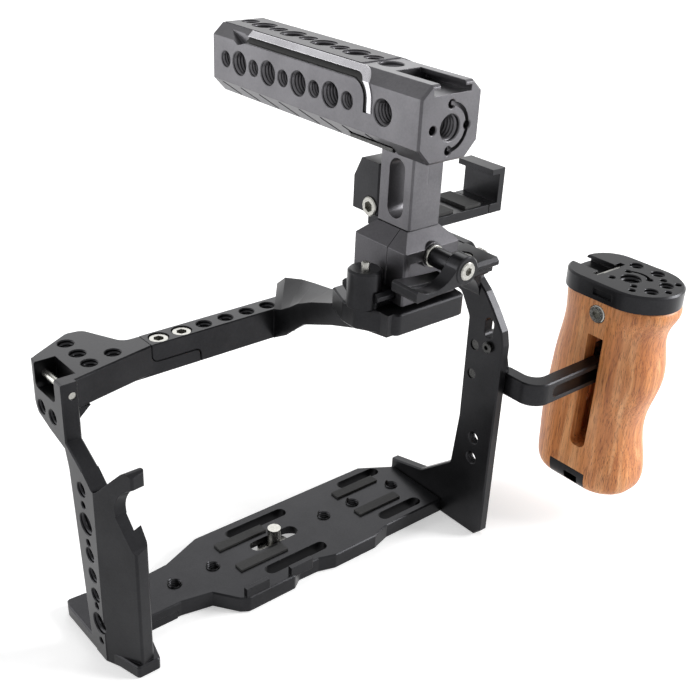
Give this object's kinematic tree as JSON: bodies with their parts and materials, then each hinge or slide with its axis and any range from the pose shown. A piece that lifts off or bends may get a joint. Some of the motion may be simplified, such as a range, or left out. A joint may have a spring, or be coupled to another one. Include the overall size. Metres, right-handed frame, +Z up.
{
  "type": "camera cage with top handle and wooden side grip",
  "caption": "Black open frame that surrounds a camera body, with rows of tapped holes, a rail-mounted top handle, a clamp for a flat drive and a slotted wooden side grip.",
  "frame": {"origin": "centre of the tripod socket in the flat underside, straight below the middle of the top handle", "axes": "+Z up, +X towards the wooden side grip, -Y out of the front where the lens would look"},
  "size_m": [0.2691, 0.1622, 0.2308],
  "materials": {
    "black_anodised": "black anodised, fine satin",
    "steel": "bright turned stainless",
    "wood": "oiled open-grain hardwood",
    "rubber": "matt black"
  },
  "bodies": {
    "cage": {"left_frame": "black_anodised", "strap_pin": "steel", "top_frame": "black_anodised", "lap_screws": "steel", "right_plate": "black_anodised", "right_plate_screws": "steel", "window_screw": "steel", "bottom_plate": "black_anodised", "base_screws": "steel", "base_pads": "rubber", "rail": "black_anodised", "rail_screws": "steel", "rail_end_screw": "steel", "rail_stop": "black_anodised", "stop_spring": "steel", "side_arm": "black_anodised", "arm_screws": "steel"},
    "camera_screw": {"camera_screw": "steel"},
    "stop_pin": {"stop_pin": "steel"},
    "top_handle": {"clamp_body": "black_anodised", "riser_post": "black_anodised", "riser_screws": "steel", "handle_body": "black_anodised", "handle_screws": "steel", "hex_key": "steel"},
    "rail_jaw": {"clamp_jaw": "black_anodised", "jaw_guide_pins": "steel", "clamp_collar": "steel"},
    "rail_lever": {"clamp_lever": "black_anodised", "lever_screw": "steel", "clamp_screw": "steel"},
    "drive_bracket": {"drive_bracket": "black_anodised", "drive_pads": "rubber"},
    "pinch_screw": {"bracket_screw": "steel"},
    "drive_jaw": {"drive_jaw": "black_anodised", "drive_guide_pins": "steel"},
    "drive_screw": {"drive_jaw_screw": "black_anodised"},
    "arm_slider": {"clamp_block": "black_anodised"},
    "slider_screw": {"block_screw": "steel"},
    "side_grip": {"grip_wood": "wood", "grip_cap": "black_anodised", "shoe_spring": "steel", "grip_screw": "steel", "grip_insert": "black_anodised"}
  },
  "joints": [
    {"name": "camera_screw_turn", "type": "hinge", "parent": "cage", "child": "camera_screw", "pos_m": [-0.03, 0, 0.005], "axis": [0, 0, 1], "continuous": true},
    {"name": "stop_pin_press", "type": "slide", "parent": "cage", "child": "stop_pin", "axis": [0, 0, -1], "range_m": [0, 0.0025], "stiffness_N_per_m": 300, "springref_m": -0.002, "deforming": ["stop_spring"]},
    {"name": "handle_slide", "type": "slide", "parent": "cage", "child": "top_handle", "axis": [1, 0, 0], "range_m": [0, 0.025]},
    {"name": "rail_jaw_slide", "type": "slide", "parent": "top_handle", "child": "rail_jaw", "axis": [0, -1, 0], "range_m": [0, 0.002]},
    {"name": "rail_lever_turn", "type": "hinge", "parent": "rail_jaw", "child": "rail_lever", "pos_m": [0, -0.07, 0.1645], "axis": [0, 1, 0], "range_deg": [0, 720]},
    {"name": "drive_bracket_slide", "type": "slide", "parent": "top_handle", "child": "drive_bracket", "axis": [0, 0, 1], "range_m": [0, 0.006]},
    {"name": "pinch_screw_turn", "type": "hinge", "parent": "drive_bracket", "child": "pinch_screw", "pos_m": [-0.005, -0.0298, 0.1772], "axis": [1, 0, 0], "continuous": true},
    {"name": "drive_jaw_slide", "type": "slide", "parent": "drive_bracket", "child": "drive_jaw", "axis": [1, 0, 0], "range_m": [0, 0.006]},
    {"name": "drive_screw_turn", "type": "hinge", "parent": "drive_jaw", "child": "drive_screw", "pos_m": [0.06, -0.0285, 0.167], "axis": [1, 0, 0], "range_deg": [0, 2700]},
    {"name": "arm_slide", "type": "slide", "parent": "cage", "child": "arm_slider", "axis": [1, 0, 0], "range_m": [-0.006, 0.006]},
    {"name": "slider_screw_turn", "type": "hinge", "parent": "arm_slider", "child": "slider_screw", "pos_m": [0.119, -0.06, 0.0845], "axis": [0, 1, 0], "continuous": true},
    {"name": "grip_height_slide", "type": "slide", "parent": "arm_slider", "child": "side_grip", "axis": [0, 0, 1], "range_m": [-0.009, 0.032]}
  ],
  "couplings": [
    {"joint": "rail_lever_turn", "follows": "rail_jaw_slide", "rad_per_m": 6283.2},
    {"joint": "drive_screw_turn", "follows": "drive_jaw_slide", "rad_per_m": 7854}
  ]
}
